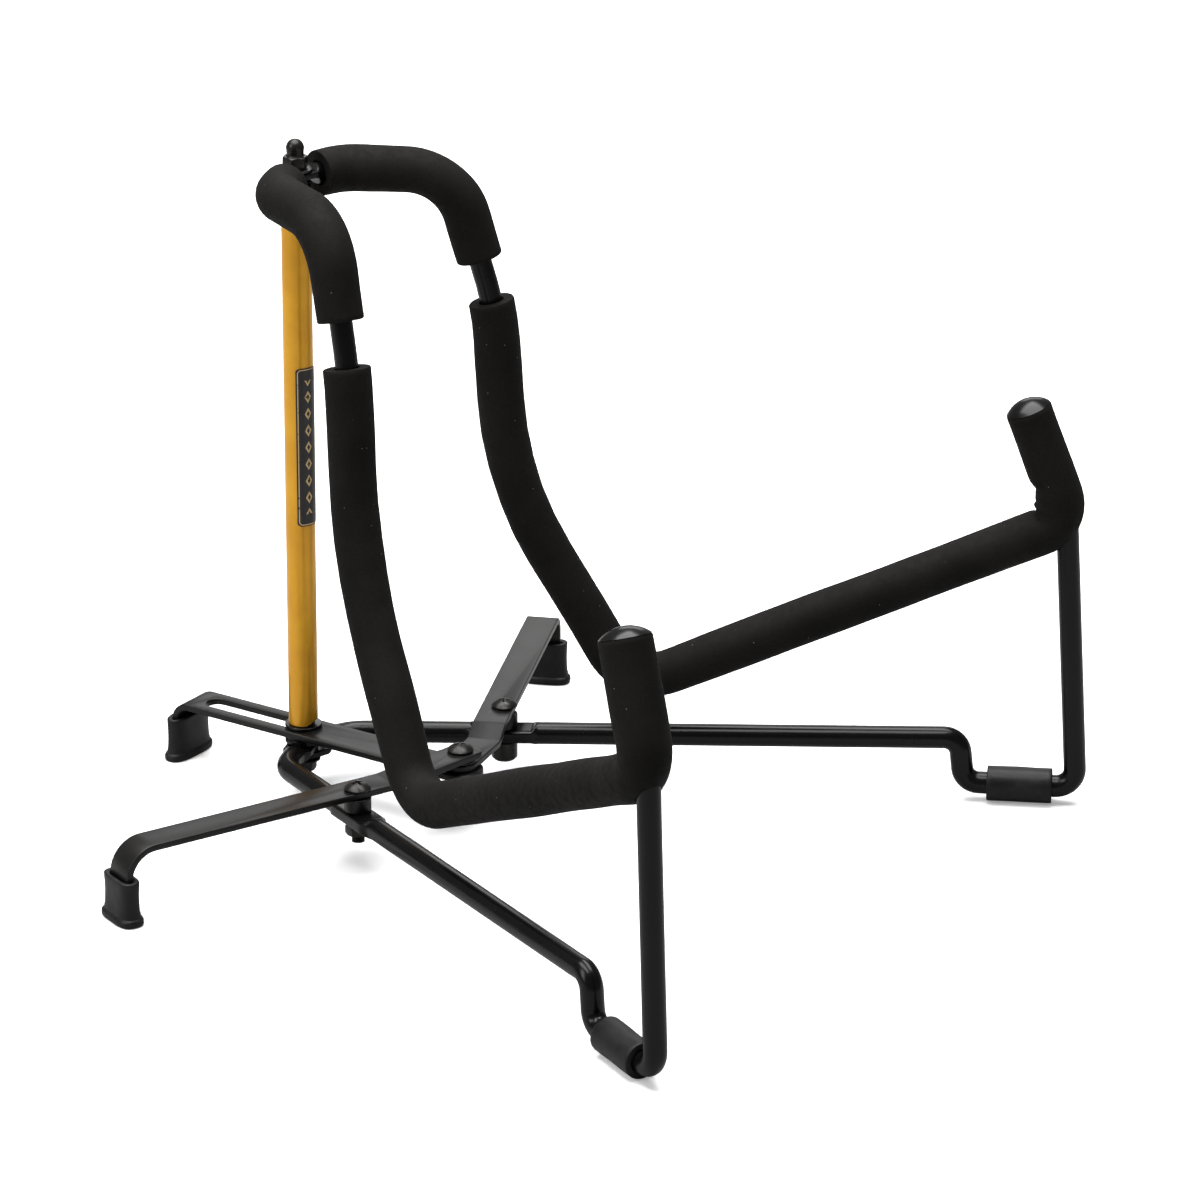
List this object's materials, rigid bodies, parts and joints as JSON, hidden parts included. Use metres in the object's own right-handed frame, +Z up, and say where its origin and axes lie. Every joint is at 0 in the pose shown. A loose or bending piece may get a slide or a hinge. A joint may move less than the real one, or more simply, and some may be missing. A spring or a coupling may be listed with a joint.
{
  "type": "folding guitar floor stand",
  "caption": "Low folding floor stand: an upright post, two padded cradle frames with upturned hooks, and crossed brace bars on rubber feet.",
  "frame": {"origin": "on the floor, under the middle of the stand's outline", "axes": "+Z up, -Y towards the open side of the cradle, +X to the right frame; +Y is the side of the post and the centre foot"},
  "size_m": [0.3578, 0.375, 0.302],
  "materials": {
    "gold_powder_coat": "gold gloss powder coat",
    "black_gloss_enamel": "gloss black enamel",
    "black_satin_coat": "satin black coat",
    "black_oxide_steel": "black oxide, dark satin",
    "black_foam": "matte closed-cell foam sleeve",
    "black_rubber": "dull moulded rubber",
    "black_plastic": "gloss moulded plastic",
    "dark_badge": "plain dark label with a thin gold border"
  },
  "bodies": {
    "post": {"post_tube": "gold_powder_coat", "post_badge": "dark_badge", "post_foot_bush": "black_plastic", "post_head_bush": "black_plastic", "post_collar": "black_plastic", "base_washer": "black_oxide_steel", "base_nut": "black_oxide_steel", "head_washer": "black_oxide_steel", "dome_nut": "black_oxide_steel", "tie_rod": "black_oxide_steel"},
    "left_frame": {"left_cradle_rod": "black_gloss_enamel", "left_leg_rod": "black_gloss_enamel", "left_upper_foam": "black_foam", "left_long_foam": "black_foam", "left_hook_cap": "black_plastic", "left_foot_sleeve": "black_rubber", "left_pivot_spacer": "black_satin_coat", "left_pivot_nut": "black_oxide_steel", "left_pivot_screw": "black_oxide_steel"},
    "right_frame": {"right_cradle_rod": "black_gloss_enamel", "right_leg_rod": "black_gloss_enamel", "right_upper_foam": "black_foam", "right_long_foam": "black_foam", "right_hook_cap": "black_plastic", "right_foot_sleeve": "black_rubber", "right_pivot_spacer": "black_satin_coat", "right_pivot_nut": "black_oxide_steel", "right_pivot_screw": "black_oxide_steel"},
    "left_brace": {"left_brace_bar": "black_satin_coat", "left_rear_boot": "black_rubber", "cross_washer": "black_oxide_steel", "cross_screw": "black_oxide_steel", "cross_nut": "black_oxide_steel"},
    "right_brace": {"right_brace_bar": "black_satin_coat", "right_rear_boot": "black_rubber"},
    "slide": {"slide_bar": "black_satin_coat", "centre_rear_boot": "black_rubber"}
  },
  "joints": [
    {"name": "fold", "type": "hinge", "parent": "post", "child": "left_frame", "pos_m": [0, 0.11632, 0], "axis": [0, 0, 1], "range_deg": [0, 18]},
    {"name": "right_fold", "type": "hinge", "parent": "post", "child": "right_frame", "pos_m": [0, 0.11632, 0], "axis": [0, 0, 1], "range_deg": [-18, 0]},
    {"name": "left_brace_pivot", "type": "hinge", "parent": "left_frame", "child": "left_brace", "pos_m": [-0.05684, 0.04596, 0], "axis": [0, 0, 1], "range_deg": [-60.12, 0]},
    {"name": "right_brace_pivot", "type": "hinge", "parent": "right_frame", "child": "right_brace", "pos_m": [0.05684, 0.04596, 0], "axis": [0, 0, 1], "range_deg": [0, 60.12]},
    {"name": "slide_pivot", "type": "hinge", "parent": "left_brace", "child": "slide", "pos_m": [0, 0.03096, 0], "axis": [0, 0, 1], "range_deg": [0, 42.12]}
  ],
  "couplings": [
    {"joint": "right_fold", "follows": "fold", "ratio": -1},
    {"joint": "left_brace_pivot", "follows": "fold", "ratio": -3.34},
    {"joint": "right_brace_pivot", "follows": "fold", "ratio": 3.34},
    {"joint": "slide_pivot", "follows": "fold", "ratio": 2.34}
  ]
}
